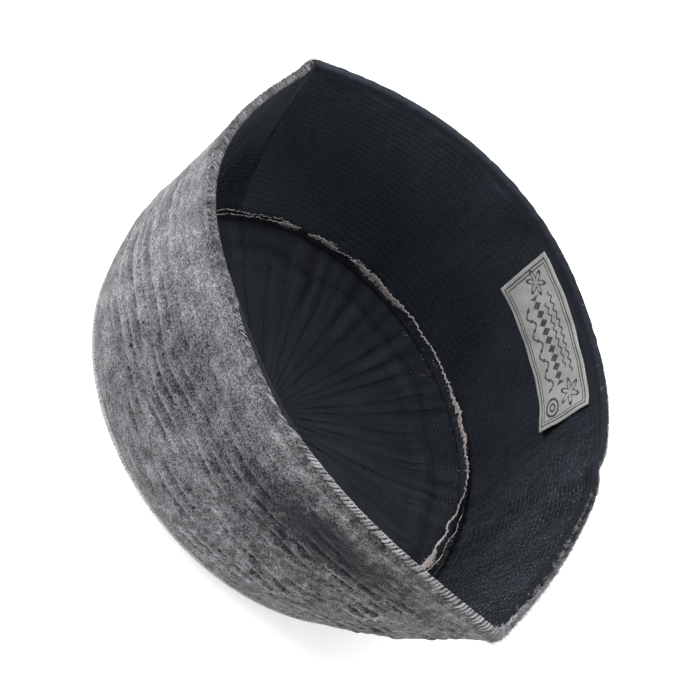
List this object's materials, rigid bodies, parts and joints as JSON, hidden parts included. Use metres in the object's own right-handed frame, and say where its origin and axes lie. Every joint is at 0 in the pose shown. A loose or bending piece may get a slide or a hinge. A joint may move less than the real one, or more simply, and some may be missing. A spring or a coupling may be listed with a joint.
{
  "type": "kufi",
  "caption": "Tall round brimless cap of quilted crushed velvet, shown mouth up, with a dark stitched lining, an overcast rim pinched to two corners and a small label inside.",
  "frame": {"origin": "underside of the crown at its middle, on the surface that the cap rests on, mouth up", "axes": "+Z from the crown towards the mouth; X along the pinched mouth's long axis, corner to corner; the label is on the +Y wall"},
  "size_m": [0.218, 0.1715, 0.0909],
  "materials": {
    "velvet": "silver-grey crushed velvet, quilted, mottled light and dark",
    "lining_cloth": "matt blue-black cotton lining with lighter stitches",
    "raw_edge": "cream fraying interlining edge",
    "edging_thread": "grey overcast thread over a turned velvet edge",
    "label_cloth": "pale woven label with dark woven lines"
  },
  "bodies": {
    "root": {"crown": "velvet", "band": "velvet", "crown_lining": "lining_cloth", "band_lining": "lining_cloth", "seam_allowance": "raw_edge", "rim_edging": "edging_thread", "label": "label_cloth"}
  },
  "joints": []
}
